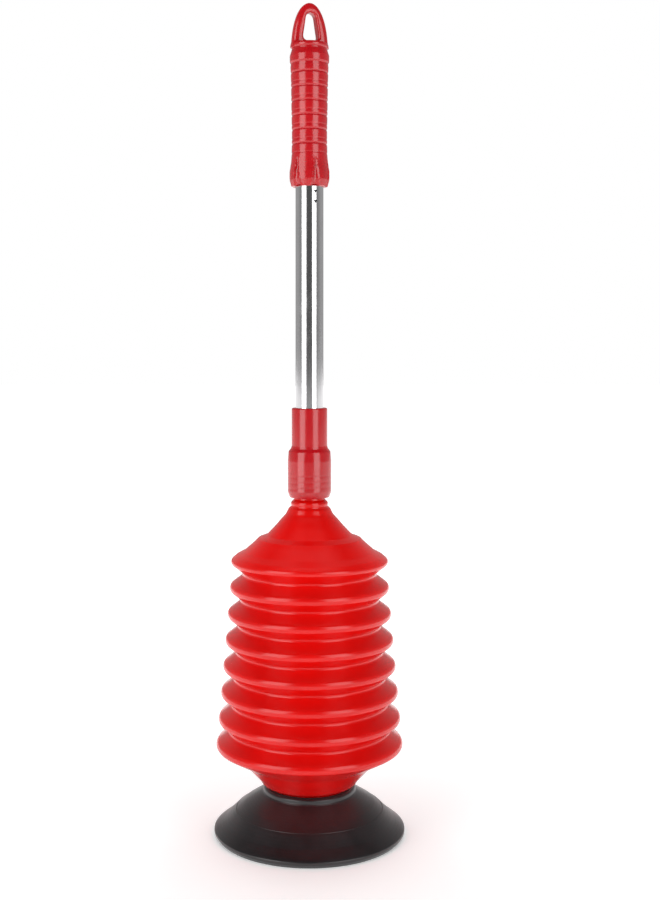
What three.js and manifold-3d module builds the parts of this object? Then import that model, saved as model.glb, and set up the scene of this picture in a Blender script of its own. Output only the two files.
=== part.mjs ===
// A toilet plunger with a pump bellows, in millimetres, +Z up.
// The origin is on the floor, on the plunger's own axis.
//
// From the floor up: a black rubber cup snaps onto the foot of a red blow-moulded bellows. The
// bellows ends in a threaded neck, and a red coupling screws onto that neck over a rubber seal.
// A steel tube stands in the coupling, and a red grip covers the tube's upper end, where a core
// plug is staked to it.
//
// The bellows and the cup are each one flexible moulding on the real object. Here the bellows is
// divided into ridges and the webs between them, and the cup into collar, dome and skirt, so that
// the plunger can pump and tilt.

import * as THREE from 'three';
import { mergeVertices } from 'three/addons/utils/BufferGeometryUtils.js';
import Module from 'manifold-3d';

const wasm = await Module();
wasm.setup();

// ---------------------------------------------------------------- driving dimensions

const GAP = 0.3; // clearance between neighbouring pieces
const ROUND_STEPS = 32; // facets round the bellows and the cup
const SLIM_STEPS = 24; // facets round the handle's parts

// Cup
const CUP_RADIUS = 74.7;
const LIP_FACE_OUTER = 72.8; // the flat ring that the plunger stands on
const LIP_FACE_INNER = 69.8;
const RUBBER_WALL = 2.8;
const COLLAR_RADIUS = 36;
const COLLAR_TOP = 39.4;
const COLLAR_BOTTOM = 32.2;
const COLLAR_CHAMFER = 1.2;
const BRIM_HEIGHT = 4.2; // where the cup is widest
const BRIM_TOP = [73.6, 6.4];
const LIP_ROUND_RADIUS = 74.2;
const LIP_ROUND_HEIGHT = 1.4;
const DOME_CLEARANCE = [1.4, 0.9]; // how far the dome's upper end lies off the collar
const CUP_FLANK = [
  [66.4, 10.8],
  [57.4, 19.2], // where the skirt ends and the dome begins
  [48, 26],
  [36.4, 33],
]; // the cup's outer face as [radius, height], from the lip up to the collar

// Bellows
const RIDGES = 8;
const RIDGE_PITCH = 20.4;
const TOP_RIDGE_RADIUS = 61.1;
const BOTTOM_RIDGE_RADIUS = 73.1;
const TOP_RIDGE_HEIGHT = 213;
const VALLEY_DEPTH = 9.6; // from the mean of two ridges' radii in to the valley between them
const VALLEY_RISE = 0.6; // how far a valley lies above the middle of its two ridges
const VALLEY_HALF_WIDTH = 0.8;
const BELLOWS_WALL = 1.5;
const RIDGE_BAND = 4.2; // depth of the stiff band at a ridge
const RIDGE_BAND_HALF = 4.4; // half of the band's height
const CHEEK_DEPTH = 1.2; // how far the nose's cheeks lie behind its tip
const CHEEK_HALF = 2.4; // half of the height between the cheeks

const SHOULDER_CONE = [
  [57.6, 217.4],
  [50.8, 221],
  [43.4, 228],
  [40.2, 231.3],
  [34, 234],
  [27.4, 241],
  [22.4, 246],
  [18.4, 250],
  [15.4, 255.4],
]; // the shoulder's outer face as [radius, height], from the top ridge up to the neck
const FOOT_CONE = [
  [37.4, 39.8],
  [39, 43.5],
  [43, 47.8],
  [53.5, 56.2],
  [63, 63],
]; // the foot's outer face, from the collar up to the bottom ridge

// Foot, where the cup snaps on
const FOOT_BOTTOM = 22.5;
const FOOT_BORE = 27;
const FOOT_FLANGE_RADIUS = 34;
const FOOT_FLANGE_TOP = 27;
const FOOT_GROOVE_RADIUS = 30;
const FOOT_GROOVE_TOP = 37.2;
const FOOT_FLANGE_CHAMFER = 2.2;
const FOOT_BORE_TOP = 40;

// Threaded neck
const NECK_RADIUS = 14.3;
const NECK_BEAD_STAND = 0.4; // how far the bead stands off the neck
const NECK_BEAD_HALF = 1.4; // half of the bead's height
const NECK_BORE_BOTTOM = 252;
const NECK_CORE_RADIUS = 12.3;
const NECK_BORE = 10.6;
const NECK_BEAD_HEIGHT = 258;
const NECK_TOP = 283;
const THREAD_PITCH = 4.5;
const THREAD_TURNS = 2.5;
const THREAD_HEIGHT = 1.3; // how far a thread stands off its wall
const THREAD_ROOT = 1.9; // thickness of a thread along the axis at its wall
const THREAD_CREST = 1.0;
const THREAD_START = 265.6; // height of the male thread's lower end
const THREAD_EMBEDDED = 0.4; // how deep a thread reaches into its wall
const THREAD_TAPER = 0.08; // share of the thread's length over which an end fades out
const THREAD_END_HEIGHT = 0.15; // share of the thread's height left at its very end

// Coupling
const COUPLING_BOTTOM = 263.3;
const COUPLING_TOP = 333.4;
const COUPLING_LOWER_RADIUS = 17.2;
const COUPLING_UPPER_RADIUS = 14.2;
const COUPLING_STEP = [
  [17, 293.5],
  [16.3, 298],
  [14.6, 302.4],
]; // the rounded step between the barrels, as [radius, height]
const COUPLING_FOOT_CHAMFER = [1.4, 4];
const COUPLING_RIM_CHAMFER = [0.9, 1.1];
const COUPLING_THREAD_BORE = 14.0;
const SEAL_THICKNESS = 2.7;
const WEB_THICKNESS = 3;
const SEAL_INNER_RADIUS = 9.6;
const SEAL_OUTER_RADIUS = 13.1;

// Tube and its core plug
const TUBE_RADIUS = 11;
const TUBE_WALL = 0.5;
const TUBE_LENGTH = 300;
const PLUG_BOTTOM = 485;
const PLUG_HEAD_TOP = 603;
const PLUG_HEAD_RADIUS = 6;
const PLUG_FOOT_CHAMFER = [1, 2];
const PLUG_HEAD_CHAMFER = 1;
const STAKE_HEIGHTS = [495.3, 503.2];
const STAKE_WIDTH = 2.8;
const STAKE_RISE = 1; // height of a mark's flat side above its middle
const STAKE_DROP = 1.3; // depth of its point below its middle
const STAKE_DEPTH = 2.4; // how far a mark reaches inwards
const STAKE_PUNCH_LENGTH = 4;
const STAKE_TURN = 25; // degrees from the front towards +X

// Grip
const GRIP_BOTTOM = 507;
const GRIP_OUTLINE = [
  [13.6, 507],
  [14.8, 509.4],
  [15.8, 513.5],
  [15.8, 519],
  [15, 525],
  [14.1, 533],
  [14, 545],
  [14.6, 570],
  [15, 595],
  [15.1, 602.6],
  [14.9, 604.6],
  [15.7, 606.4],
  [15.7, 610],
  [14.7, 614.8],
  [14.7, 619],
  [13.6, 621.2],
  [9, 622.3],
  [0, 622.3],
]; // the round body as [radius, height]: a bell, a waisted barrel, a flange and a bead
const GRIP_TURN = 19; // degrees that the hanging loop's face turns towards +X
const LOOP_THICKNESS = 10;
const LOOP_BEVEL = 1.6;
const LOOP_TOP = 652.4;
const LOOP_ROOT = 612; // where the loop starts, inside the grip's body
const LOOP_ROOT_HALF = 12;
const LOOP_SIDE = [
  [12.9, 626],
  [11.8, 637],
  [7.6, 645],
]; // the curve of a side, as [across, height]: two handles and its end
const LOOP_CROWN = [
  [5, 650],
  [2.8, 650.8],
]; // the two handles of the curve from a side to the top
const EYE_BOTTOM = 622.4;
const EYE_TOP = 643;
const EYE_LOW_WIDTH = 12.7;
const EYE_HIGH_WIDTH = 5.6;
const EYE_CORNER = 4; // size of the eye's rounded lower corners
const EYE_SIDE_LEAN = 0.4; // how far a lower corner's curve leans in
const EYE_CROWN_LEAN = 0.6; // how far the crown's curve leans in

// ---------------------------------------------------------------- shared shapes

const degrees = THREE.MathUtils.degToRad;

// A solid of revolution about +Z. The profile is a list of [radius, height] points that runs
// anticlockwise round the material, and starts and ends on the axis or closes on itself.
function revolve(profile, steps) {
  const closesOnAxis = profile[0][0] === 0;
  const outline = closesOnAxis ? profile : [...profile, profile[0]];
  const points = outline.map(([radius, height]) => new THREE.Vector2(radius, height));
  return new THREE.LatheGeometry(points, steps).rotateX(Math.PI / 2);
}

// The line that lies one wall thickness inside an outer line, with mitred corners.
function insideLine(line, thickness) {
  return line.map((point, i) => {
    const before = line[Math.max(i - 1, 0)];
    const after = line[Math.min(i + 1, line.length - 1)];
    const arriving = new THREE.Vector2(point[0] - before[0], point[1] - before[1]).normalize();
    const leaving = new THREE.Vector2(after[0] - point[0], after[1] - point[1]).normalize();
    const mean = arriving.clone().add(leaving).normalize();
    const mitre = Math.max(mean.dot(arriving), mean.dot(leaving));
    const reach = thickness / mitre;
    return [point[0] - mean.y * reach, point[1] + mean.x * reach];
  });
}

// The closed profile of a wall whose outer face is the given line, from bottom to top.
function wallProfile(line, thickness) {
  return [...line, ...insideLine(line, thickness).reverse()];
}

function mergedCopy(geometry) {
  const bare = geometry.clone();
  bare.deleteAttribute('normal');
  bare.deleteAttribute('uv');
  return mergeVertices(bare, 1e-4);
}

function toSolid(geometry) {
  const merged = mergedCopy(geometry);
  const corners = [];
  for (let i = 0; i < merged.index.count; i += 3) {
    const triangle = [0, 1, 2].map((k) => merged.index.getX(i + k));
    if (new Set(triangle).size === 3) {
      corners.push(...triangle);
    }
  }
  const mesh = new wasm.Mesh({
    numProp: 3,
    vertProperties: new Float32Array(merged.attributes.position.array),
    triVerts: new Uint32Array(corners),
  });
  return new wasm.Manifold(mesh);
}

function fromSolid(solid) {
  const mesh = solid.getMesh();
  const geometry = new THREE.BufferGeometry();
  geometry.setAttribute('position', new THREE.BufferAttribute(mesh.vertProperties, 3));
  geometry.setIndex(new THREE.BufferAttribute(mesh.triVerts, 1));
  geometry.computeVertexNormals();
  return geometry;
}

// A right-hand thread: a straight bar of trapezoidal section, wrapped round the axis. The bar's
// x is the distance from the wall (outwards for side +1, inwards for side -1), its y is the
// height, and its length runs round the helix. Both ends taper into the wall.
function thread(wallRadius, side, startHeight, startAngle) {
  const section = new THREE.Shape([
    new THREE.Vector2(-THREAD_EMBEDDED, -THREAD_ROOT / 2),
    new THREE.Vector2(THREAD_HEIGHT, -THREAD_CREST / 2),
    new THREE.Vector2(THREAD_HEIGHT, THREAD_CREST / 2),
    new THREE.Vector2(-THREAD_EMBEDDED, THREAD_ROOT / 2),
  ]);
  const steps = Math.round(THREAD_TURNS * SLIM_STEPS);
  const bar = new THREE.ExtrudeGeometry(section, { depth: 1, steps, bevelEnabled: false });
  const position = bar.attributes.position;
  for (let i = 0; i < position.count; i += 1) {
    const along = position.getZ(i);
    const nearestEnd = Math.min(along, 1 - along);
    const fade = Math.min(1, THREAD_END_HEIGHT + nearestEnd / THREAD_TAPER);
    const stand = (position.getX(i) + THREAD_EMBEDDED) * fade - THREAD_EMBEDDED;
    const radius = wallRadius + side * stand;
    const angle = startAngle + along * THREAD_TURNS * 2 * Math.PI;
    const height = startHeight + along * THREAD_TURNS * THREAD_PITCH + position.getY(i);
    position.setXYZ(i, radius * Math.cos(angle), radius * Math.sin(angle), height);
  }
  // Wrapping the bar with its x outwards mirrors it, so its triangles are listed backwards.
  const solidBar = mergedCopy(bar);
  if (side > 0) {
    const index = solidBar.index;
    for (let i = 0; i < index.count; i += 3) {
      const first = index.getX(i);
      index.setX(i, index.getX(i + 1));
      index.setX(i + 1, first);
    }
  }
  return toSolid(solidBar);
}

const model = new THREE.Group();

function addPart(name, geometry, material) {
  const mesh = new THREE.Mesh(geometry, material);
  mesh.name = name;
  model.add(mesh);
  return mesh;
}

function material(color, roughness, metalness = 0) {
  return new THREE.MeshStandardMaterial({ color, roughness, metalness });
}

// ---------------------------------------------------------------- cup

function cupSkirt() {
  const brim = [CUP_RADIUS, BRIM_HEIGHT];
  const outer = [[LIP_FACE_OUTER, 0], [LIP_ROUND_RADIUS, LIP_ROUND_HEIGHT], brim, BRIM_TOP];
  const flank = CUP_FLANK.slice(0, 2);
  const inner = insideLine([brim, ...flank], RUBBER_WALL);
  const profile = [[LIP_FACE_INNER, 0], ...outer, ...flank, inner[2], inner[1]];
  return revolve(profile, ROUND_STEPS);
}

// The dome stays clear of the skirt below it and of the collar above it.
function cupDome() {
  const [, lower, middle, upper] = CUP_FLANK;
  const start = [lower[0] - GAP, lower[1] + GAP];
  const end = [upper[0] + DOME_CLEARANCE[0], upper[1] - DOME_CLEARANCE[1]];
  return revolve(wallProfile([start, middle, end], RUBBER_WALL), ROUND_STEPS);
}

// The collar's inner rib sits in the foot's groove, above the foot's flange.
function cupCollar() {
  const ribRadius = FOOT_GROOVE_RADIUS + GAP;
  const ribBottom = FOOT_FLANGE_TOP + 3 * GAP;
  const profile = [
    [ribRadius, ribBottom],
    [COLLAR_RADIUS - COLLAR_CHAMFER, ribBottom + COLLAR_CHAMFER],
    [COLLAR_RADIUS, COLLAR_BOTTOM],
    [COLLAR_RADIUS, COLLAR_TOP - 2 * COLLAR_CHAMFER],
    [COLLAR_RADIUS - COLLAR_CHAMFER, COLLAR_TOP - COLLAR_CHAMFER],
    [ribRadius, FOOT_GROOVE_TOP - GAP],
  ];
  return revolve(profile, ROUND_STEPS);
}

const rubber = material(0x17141a, 0.45);
addPart('cup_skirt', cupSkirt(), rubber);
addPart('cup_dome', cupDome(), rubber.clone());
addPart('cup_collar', cupCollar(), rubber.clone());

// ---------------------------------------------------------------- bellows

// Ridges are numbered from 1 at the top to 8 at the foot.
function ridgeRadius(ridge) {
  const share = (ridge - 1) / (RIDGES - 1);
  return TOP_RIDGE_RADIUS + (BOTTOM_RIDGE_RADIUS - TOP_RIDGE_RADIUS) * share;
}

function ridgeHeight(ridge) {
  return TOP_RIDGE_HEIGHT - (ridge - 1) * RIDGE_PITCH;
}

// The valley below a ridge, as [radius, height].
function valley(ridge) {
  const radius = (ridgeRadius(ridge) + ridgeRadius(ridge + 1)) / 2 - VALLEY_DEPTH;
  const height = (ridgeHeight(ridge) + ridgeHeight(ridge + 1)) / 2 + VALLEY_RISE;
  return [radius, height];
}

// Half of a ridge's rounded nose: its edge towards the valley, its cheek and its tip.
function noseHalf(ridge, side) {
  const radius = ridgeRadius(ridge);
  const height = ridgeHeight(ridge);
  return [
    [radius - RIDGE_BAND, height + side * RIDGE_BAND_HALF],
    [radius - CHEEK_DEPTH, height + side * CHEEK_HALF],
    [radius, height],
  ];
}

function bellowsRidge(ridge) {
  const lowerHalf = noseHalf(ridge, -1);
  const [upperEdge, upperCheek] = noseHalf(ridge, 1);
  const line = [...lowerHalf, upperCheek, upperEdge];
  return revolve(wallProfile(line, BELLOWS_WALL), ROUND_STEPS);
}

// The web joins the ridge above it to the ridge below it, through the valley.
function bellowsWeb(ridge) {
  const [valleyRadius, valleyHeight] = valley(ridge);
  const [lowerEdge] = noseHalf(ridge + 1, 1);
  const [upperEdge] = noseHalf(ridge, -1);
  const line = [
    [lowerEdge[0] - GAP, lowerEdge[1] + GAP],
    [valleyRadius, valleyHeight - VALLEY_HALF_WIDTH],
    [valleyRadius, valleyHeight + VALLEY_HALF_WIDTH],
    [upperEdge[0] - GAP, upperEdge[1] - GAP],
  ];
  return revolve(wallProfile(line, BELLOWS_WALL), ROUND_STEPS);
}

// The top ridge, the shoulder cone and the threaded neck.
function bellowsShoulder() {
  const neckLine = [
    [NECK_RADIUS, NECK_BEAD_HEIGHT - NECK_BEAD_HALF],
    [NECK_RADIUS + NECK_BEAD_STAND, NECK_BEAD_HEIGHT],
    [NECK_RADIUS, NECK_BEAD_HEIGHT + NECK_BEAD_HALF],
    [NECK_CORE_RADIUS, COUPLING_BOTTOM],
    [NECK_CORE_RADIUS, NECK_TOP],
  ];
  const wall = [...noseHalf(1, -1), ...SHOULDER_CONE];
  const innerWall = insideLine(wall, BELLOWS_WALL).slice(0, -1);
  const bore = [[NECK_BORE, NECK_TOP], [NECK_BORE, NECK_BORE_BOTTOM]];
  const profile = [...wall, ...neckLine, ...bore, ...innerWall.reverse()];
  const body = toSolid(revolve(profile, ROUND_STEPS));
  return fromSolid(body.add(thread(NECK_CORE_RADIUS, 1, THREAD_START, 0)));
}

// The bottom ridge, the foot cone, and the groove and flange that hold the cup.
function bellowsFoot() {
  const mouth = [
    [FOOT_BORE, FOOT_BOTTOM],
    [FOOT_FLANGE_RADIUS - FOOT_FLANGE_CHAMFER, FOOT_BOTTOM],
    [FOOT_FLANGE_RADIUS, FOOT_BOTTOM + FOOT_FLANGE_CHAMFER],
    [FOOT_FLANGE_RADIUS, FOOT_FLANGE_TOP],
    [FOOT_GROOVE_RADIUS, FOOT_FLANGE_TOP],
    [FOOT_GROOVE_RADIUS, FOOT_GROOVE_TOP],
  ];
  const tip = noseHalf(RIDGES, -1).slice(1);
  const [upperEdge, upperCheek] = noseHalf(RIDGES, 1);
  const wall = [...FOOT_CONE, ...tip, upperCheek, upperEdge];
  const innerWall = insideLine(wall, BELLOWS_WALL).slice(1);
  const profile = [...mouth, ...wall, ...innerWall.reverse(), [FOOT_BORE, FOOT_BORE_TOP]];
  return revolve(profile, ROUND_STEPS);
}

const bellowsRed = material(0xd20d0c, 0.35);
addPart('bellows_shoulder', bellowsShoulder(), bellowsRed);
for (let ridge = 2; ridge < RIDGES; ridge += 1) {
  addPart(`bellows_ridge_${ridge}`, bellowsRidge(ridge), bellowsRed.clone());
}
for (let ridge = 1; ridge < RIDGES; ridge += 1) {
  addPart(`bellows_web_${ridge}`, bellowsWeb(ridge), bellowsRed.clone());
}
addPart('bellows_foot', bellowsFoot(), bellowsRed.clone());

// ---------------------------------------------------------------- coupling and seal

const SEAL_BOTTOM = NECK_TOP + GAP;
const WEB_BOTTOM = SEAL_BOTTOM + SEAL_THICKNESS + GAP;
const WEB_TOP = WEB_BOTTOM + WEB_THICKNESS;
const TUBE_BOTTOM = WEB_TOP + GAP;
const TUBE_TOP = TUBE_BOTTOM + TUBE_LENGTH;

function neckSeal() {
  const profile = [
    [SEAL_INNER_RADIUS, SEAL_BOTTOM],
    [SEAL_OUTER_RADIUS, SEAL_BOTTOM],
    [SEAL_OUTER_RADIUS, SEAL_BOTTOM + SEAL_THICKNESS],
    [SEAL_INNER_RADIUS, SEAL_BOTTOM + SEAL_THICKNESS],
  ];
  return revolve(profile, SLIM_STEPS);
}

// A web closes the coupling between the threaded socket below and the tube socket above.
function coupling() {
  const socketRadius = TUBE_RADIUS + GAP;
  const [footInset, footRise] = COUPLING_FOOT_CHAMFER;
  const [rimInset, rimDrop] = COUPLING_RIM_CHAMFER;
  const profile = [
    [0, WEB_BOTTOM],
    [COUPLING_THREAD_BORE, WEB_BOTTOM],
    [COUPLING_THREAD_BORE, COUPLING_BOTTOM],
    [COUPLING_LOWER_RADIUS - footInset, COUPLING_BOTTOM],
    [COUPLING_LOWER_RADIUS, COUPLING_BOTTOM + footRise],
    ...COUPLING_STEP,
    [COUPLING_UPPER_RADIUS, COUPLING_TOP - rimDrop],
    [COUPLING_UPPER_RADIUS - rimInset, COUPLING_TOP],
    [socketRadius, COUPLING_TOP],
    [socketRadius, WEB_TOP],
    [0, WEB_TOP],
  ];
  const body = toSolid(revolve(profile, SLIM_STEPS));
  return fromSolid(body.add(thread(COUPLING_THREAD_BORE, -1, THREAD_START, Math.PI)));
}

addPart('neck_seal', neckSeal(), material(0x2a2a2c, 0.7));
addPart('coupling', coupling(), material(0xbe1420, 0.28));

// ---------------------------------------------------------------- tube and core plug

// Each stake mark is a small triangular nick punched through the tube's wall into the plug.
function stakePunch(height) {
  const half = STAKE_WIDTH / 2;
  const nick = new THREE.Shape([
    new THREE.Vector2(-half, STAKE_RISE),
    new THREE.Vector2(0, -STAKE_DROP),
    new THREE.Vector2(half, STAKE_RISE),
  ]);
  const length = { depth: STAKE_PUNCH_LENGTH, bevelEnabled: false };
  const punch = new THREE.ExtrudeGeometry(nick, length);
  punch.rotateX(Math.PI / 2);
  punch.translate(0, STAKE_DEPTH - TUBE_RADIUS, height);
  punch.rotateZ(degrees(STAKE_TURN));
  return toSolid(punch);
}

function tube() {
  const profile = [
    [TUBE_RADIUS - TUBE_WALL, TUBE_BOTTOM],
    [TUBE_RADIUS, TUBE_BOTTOM],
    [TUBE_RADIUS, TUBE_TOP],
    [TUBE_RADIUS - TUBE_WALL, TUBE_TOP],
  ];
  const wall = toSolid(revolve(profile, SLIM_STEPS));
  const staked = STAKE_HEIGHTS.reduce((left, height) => left.subtract(stakePunch(height)), wall);
  return fromSolid(staked);
}

// The plug's head stands above the tube's end and is gripped by the grip's own bore.
function gripPlug() {
  const radius = TUBE_RADIUS - TUBE_WALL - GAP;
  const [footInset, footRise] = PLUG_FOOT_CHAMFER;
  const profile = [
    [0, PLUG_BOTTOM],
    [radius - footInset, PLUG_BOTTOM],
    [radius, PLUG_BOTTOM + footRise],
    [radius, TUBE_TOP],
    [PLUG_HEAD_RADIUS, TUBE_TOP],
    [PLUG_HEAD_RADIUS, PLUG_HEAD_TOP - PLUG_HEAD_CHAMFER],
    [PLUG_HEAD_RADIUS - PLUG_HEAD_CHAMFER, PLUG_HEAD_TOP],
    [0, PLUG_HEAD_TOP],
  ];
  return revolve(profile, SLIM_STEPS);
}

addPart('tube', tube(), material(0xc9c9cc, 0.12, 1));
addPart('grip_plug', gripPlug(), material(0xd8d4c8, 0.6));

// ---------------------------------------------------------------- grip

function gripBody() {
  const tubeBore = TUBE_RADIUS + GAP;
  const headBore = PLUG_HEAD_RADIUS + GAP;
  const boreTop = TUBE_TOP + GAP;
  const bore = [
    [0, PLUG_HEAD_TOP + GAP],
    [headBore, PLUG_HEAD_TOP + GAP],
    [headBore, boreTop],
    [tubeBore, boreTop],
    [tubeBore, GRIP_BOTTOM],
  ];
  return toSolid(revolve([...bore, ...GRIP_OUTLINE], SLIM_STEPS));
}

// The hanging loop: a pointed arch with a drop-shaped eye, drawn in its own plane with x across
// and y up, then stood upright and turned about the grip's axis. The bevel adds its own width to
// the arch and takes it from the eye.
function gripLoop() {
  const archTop = LOOP_TOP - LOOP_BEVEL;
  const [[x1, y1], [x2, y2], [x3, y3]] = LOOP_SIDE;
  const [[x4, y4], [x5, y5]] = LOOP_CROWN;
  const arch = new THREE.Shape();
  arch.moveTo(-LOOP_ROOT_HALF, LOOP_ROOT);
  arch.lineTo(LOOP_ROOT_HALF, LOOP_ROOT);
  arch.bezierCurveTo(x1, y1, x2, y2, x3, y3);
  arch.bezierCurveTo(x4, y4, x5, y5, 0, archTop);
  arch.bezierCurveTo(-x5, y5, -x4, y4, -x3, y3);
  arch.bezierCurveTo(-x2, y2, -x1, y1, -LOOP_ROOT_HALF, LOOP_ROOT);
  const low = EYE_BOTTOM - LOOP_BEVEL;
  const high = EYE_TOP + LOOP_BEVEL;
  const wide = EYE_LOW_WIDTH / 2 + LOOP_BEVEL;
  const narrow = EYE_HIGH_WIDTH / 2 + LOOP_BEVEL;
  const lowBend = wide - EYE_SIDE_LEAN;
  const highBend = narrow - EYE_CROWN_LEAN;
  const eye = new THREE.Path();
  eye.moveTo(0, low);
  eye.lineTo(wide - EYE_CORNER, low);
  eye.quadraticCurveTo(wide, low, lowBend, low + EYE_CORNER);
  eye.lineTo(narrow, high - narrow);
  eye.quadraticCurveTo(highBend, high, 0, high);
  eye.quadraticCurveTo(-highBend, high, -narrow, high - narrow);
  eye.lineTo(-lowBend, low + EYE_CORNER);
  eye.quadraticCurveTo(-wide, low, EYE_CORNER - wide, low);
  eye.lineTo(0, low);
  arch.holes.push(eye);
  const depth = LOOP_THICKNESS - 2 * LOOP_BEVEL;
  const loop = new THREE.ExtrudeGeometry(arch, {
    depth,
    curveSegments: 6,
    bevelThickness: LOOP_BEVEL,
    bevelSize: LOOP_BEVEL,
    bevelSegments: 1,
  });
  loop.translate(0, 0, -depth / 2);
  loop.rotateX(Math.PI / 2);
  loop.rotateZ(degrees(GRIP_TURN));
  return toSolid(loop);
}

addPart('grip', fromSolid(gripBody().add(gripLoop())), material(0xbe1420, 0.28));

export default model;
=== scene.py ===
"""Looks of the toilet plunger with a pump bellows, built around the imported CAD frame. Metres."""

import math

import bpy
import numpy as np
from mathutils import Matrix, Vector


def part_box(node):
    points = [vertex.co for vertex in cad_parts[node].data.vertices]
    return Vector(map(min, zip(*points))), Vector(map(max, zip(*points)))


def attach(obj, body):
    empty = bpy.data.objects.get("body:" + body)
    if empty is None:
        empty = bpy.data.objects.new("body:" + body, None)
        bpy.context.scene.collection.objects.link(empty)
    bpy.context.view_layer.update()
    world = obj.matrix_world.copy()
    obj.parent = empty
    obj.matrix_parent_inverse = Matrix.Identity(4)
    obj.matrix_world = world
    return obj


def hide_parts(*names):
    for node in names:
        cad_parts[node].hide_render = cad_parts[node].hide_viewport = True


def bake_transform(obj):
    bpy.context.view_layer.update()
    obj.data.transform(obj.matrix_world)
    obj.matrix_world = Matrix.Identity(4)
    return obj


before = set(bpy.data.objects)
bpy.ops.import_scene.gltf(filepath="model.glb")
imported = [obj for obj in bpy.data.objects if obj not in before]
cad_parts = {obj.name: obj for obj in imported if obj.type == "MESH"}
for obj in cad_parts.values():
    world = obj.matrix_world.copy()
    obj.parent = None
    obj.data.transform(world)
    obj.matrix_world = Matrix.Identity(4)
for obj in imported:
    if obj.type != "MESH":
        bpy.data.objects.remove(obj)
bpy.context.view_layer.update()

MM = 0.001
TAU = 2 * math.pi
SHARP_ANGLE = math.radians(38)

# ------------------------------------------------------------------ mesh helpers


def make_object(name, verts, faces):
    """A mesh object from points in millimetres, shaded smooth, with its sharp corners kept."""
    mesh = bpy.data.meshes.new(name)
    mesh.from_pydata((np.asarray(verts) * MM).tolist(), [], faces)
    mesh.update()
    mesh.shade_smooth()
    mesh.set_sharp_from_angle(angle=SHARP_ANGLE)
    obj = bpy.data.objects.new(name, mesh)
    bpy.context.scene.collection.objects.link(obj)
    return obj


def rounded(corners, steps=7):
    """The line through corners (radius, height, fillet), each replaced by an arc of that fillet.
    Returns its points, and for each corner the index of the arc's middle point."""
    points, middles = [], []
    for i, (radius, height, fillet) in enumerate(corners):
        here = np.array([radius, height], float)
        if fillet == 0 or i in (0, len(corners) - 1):
            middles.append(len(points))
            points.append(tuple(here))
            continue
        back = np.array(corners[i - 1][:2], float) - here
        ahead = np.array(corners[i + 1][:2], float) - here
        back_length, ahead_length = np.linalg.norm(back), np.linalg.norm(ahead)
        back, ahead = back / back_length, ahead / ahead_length
        half = math.acos(max(-1.0, min(1.0, float(back @ ahead)))) / 2
        reach = min(fillet / math.tan(half), 0.49 * back_length, 0.49 * ahead_length)
        arc = reach * math.tan(half)
        bisector = (back + ahead) / np.linalg.norm(back + ahead)
        centre = here + bisector * arc / math.sin(half)
        start = here + back * reach - centre
        a0 = math.atan2(start[1], start[0])
        end = here + ahead * reach - centre
        sweep = (math.atan2(end[1], end[0]) - a0 + math.pi) % TAU - math.pi
        middles.append(len(points) + steps // 2)
        for k in range(steps):
            a = a0 + sweep * k / (steps - 1)
            points.append((centre[0] + arc * math.cos(a), centre[1] + arc * math.sin(a)))
    return points, middles


def line_normals(points):
    """The unit normals to the right of a line, which is its outer side when the line runs upwards."""
    p = np.array(points, float)
    steps = np.diff(p, axis=0)
    steps /= np.linalg.norm(steps, axis=1)[:, None]
    along = np.vstack([steps[:1], steps[:-1] + steps[1:], steps[-1:]])
    along /= np.linalg.norm(along, axis=1)[:, None]
    return np.column_stack([along[:, 1], -along[:, 0]])


def settled(corners, apexes):
    """The corners with the tips among them moved along the radius, so that each fillet's own tip
    stands where its corner stood. apexes maps a corner's index to 1 for a ridge, -1 for a valley."""
    moved = [list(corner) for corner in corners]
    for _ in range(4):
        for i, side in apexes.items():
            here = np.array(moved[i][:2])
            back, ahead = np.array(moved[i - 1][:2]) - here, np.array(moved[i + 1][:2]) - here
            cosine = float(back @ ahead) / (np.linalg.norm(back) * np.linalg.norm(ahead))
            half = math.acos(cosine) / 2
            moved[i][0] = corners[i][0] + side * corners[i][2] * (1 / math.sin(half) - 1)
    return moved


def turned(name, outline, segments, shape=None, seams=()):
    """A solid of revolution. The outline is a list of (radius, height) in millimetres, anticlockwise
    round the material, that closes on itself or starts and ends on the axis. shape moves a point,
    given as arrays (angle, radius, height), to a new radius and height. seams lists (index, normal)
    for the outline points where the surface runs on into another piece without a crease."""
    outline = np.array(outline, float)
    on_axis = outline[0][0] == 0
    angle = np.arange(segments) * TAU / segments
    rings, verts = [], []
    for radius, height in outline:
        if radius == 0:
            rings.append([len(verts)] * segments)
            verts.append((0, 0, height))
            continue
        r, z = np.full(segments, radius), np.full(segments, height)
        if shape:
            r, z = shape(angle, r, z)
        rings.append(list(range(len(verts), len(verts) + segments)))
        verts.extend(zip(r * np.cos(angle), r * np.sin(angle), z))
    faces = []
    pairs = list(zip(rings[:-1], rings[1:]))
    if not on_axis:
        pairs.append((rings[-1], rings[0]))
    for low, high in pairs:
        for k in range(segments):
            n = (k + 1) % segments
            corners = [low[k], low[n], high[n], high[k]]
            faces.append(tuple(dict.fromkeys(corners)))
    obj = make_object(name, verts, faces)
    if seams:
        normals = np.zeros((len(verts), 3))
        for index, (across, up) in seams:
            for k in range(segments):
                c, s = math.cos(angle[k]), math.sin(angle[k])
                normals[rings[index][k]] = (across * c, across * s, up)
        obj.data.normals_split_custom_set_from_vertices(normals.tolist())
    return obj


def finish_piece(obj, material, slot, *nodes):
    """Gives a piece its material and hides the CAD nodes that it stands for. The slot is not used."""
    obj.data.materials.clear()
    obj.data.materials.append(material)
    if nodes:
        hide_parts(*nodes)
    return obj


# ------------------------------------------------------------------ materials


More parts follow.
